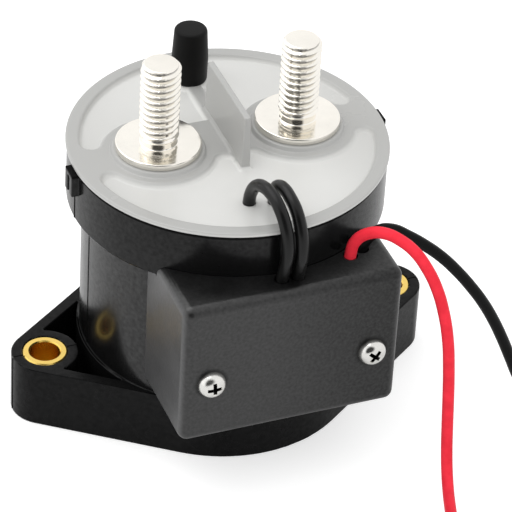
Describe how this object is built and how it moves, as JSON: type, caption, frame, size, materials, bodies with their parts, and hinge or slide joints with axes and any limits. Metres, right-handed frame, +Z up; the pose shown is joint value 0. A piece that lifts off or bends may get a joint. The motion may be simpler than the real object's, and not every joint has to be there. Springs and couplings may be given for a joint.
{
  "type": "high voltage dc contactor",
  "caption": "Sealed round DC contactor with flange ears, stud terminals on a recessed cover with a barrier, and a coil economizer box with wire leads.",
  "frame": {"origin": "body axis on the base plane, midway between the mounting holes", "axes": "+Z up along the body axis and the studs, +X along the line of the mounting ears, -Y towards the economizer box"},
  "size_m": [0.1309, 0.1348, 0.0791],
  "materials": {
    "case_black": "satin moulded",
    "cover_grey": "glossy moulded",
    "stud_plated": "bright tin plated",
    "bush_brass": "turned",
    "cap_rubber": "matt",
    "box_black": "fine grained",
    "screw_nickel": "nickel plated",
    "wire_black": "smooth insulation",
    "wire_red": "smooth insulation",
    "strand_tinned": "tinned strands",
    "soft_iron": "zinc plated",
    "spring_steel": "drawn wire",
    "copper_bare": "bare copper",
    "tip_silver": "silver alloy",
    "magnet_dark": "sintered",
    "chamber_ceramic": "unglazed",
    "bobbin_black": "moulded",
    "board_green": "solder mask",
    "component_black": "moulded",
    "tie_white": "moulded"
  },
  "bodies": {
    "base": {"housing": "case_black", "mounting_bush_left": "bush_brass", "mounting_bush_right": "bush_brass", "terminal_cover": "cover_grey", "stud_left": "stud_plated", "stud_right": "stud_plated", "contact_tip_left": "tip_silver", "contact_tip_right": "tip_silver", "arc_chamber": "chamber_ceramic", "arc_magnet_front": "magnet_dark", "arc_magnet_rear": "magnet_dark", "return_spring": "spring_steel", "fixed_core": "soft_iron", "core_plate": "soft_iron", "plunger_sleeve": "spring_steel", "coil_bobbin": "bobbin_black", "coil_winding": "copper_bare", "yoke_cup": "soft_iron", "seal_tube": "copper_bare", "tube_cap": "cap_rubber", "economizer_box": "box_black", "economizer_board": "board_green", "board_components": "component_black", "box_screws": "screw_nickel", "coil_wire_left": "wire_black", "coil_wire_right": "wire_black", "lead_red": "wire_red", "hank_red": "wire_red", "bare_end_red": "strand_tinned", "hank_tie_red": "tie_white", "lead_black": "wire_black", "hank_black": "wire_black", "bare_end_black": "strand_tinned", "hank_tie_black": "tie_white"},
    "plunger": {"plunger": "soft_iron", "plunger_shaft": "soft_iron", "retaining_clip": "spring_steel", "spring_seat": "soft_iron", "contact_spring": "spring_steel"},
    "contact": {"moving_contact": "copper_bare", "contact_bush": "bobbin_black"}
  },
  "joints": [
    {"name": "plunger_lift", "type": "slide", "parent": "base", "child": "plunger", "axis": [0, 0, 1], "range_m": [0, 0.002], "stiffness_N_per_m": 2000, "springref_m": -0.002, "deforming": ["return_spring"]},
    {"name": "contact_slip", "type": "slide", "parent": "plunger", "child": "contact", "axis": [0, 0, 1], "range_m": [-0.0006, 0], "stiffness_N_per_m": 4000, "springref_m": 0.001, "deforming": ["contact_spring"]}
  ],
  "couplings": [
    {"joint": "contact_slip", "follows": "plunger_lift", "ratio": -0.3}
  ]
}
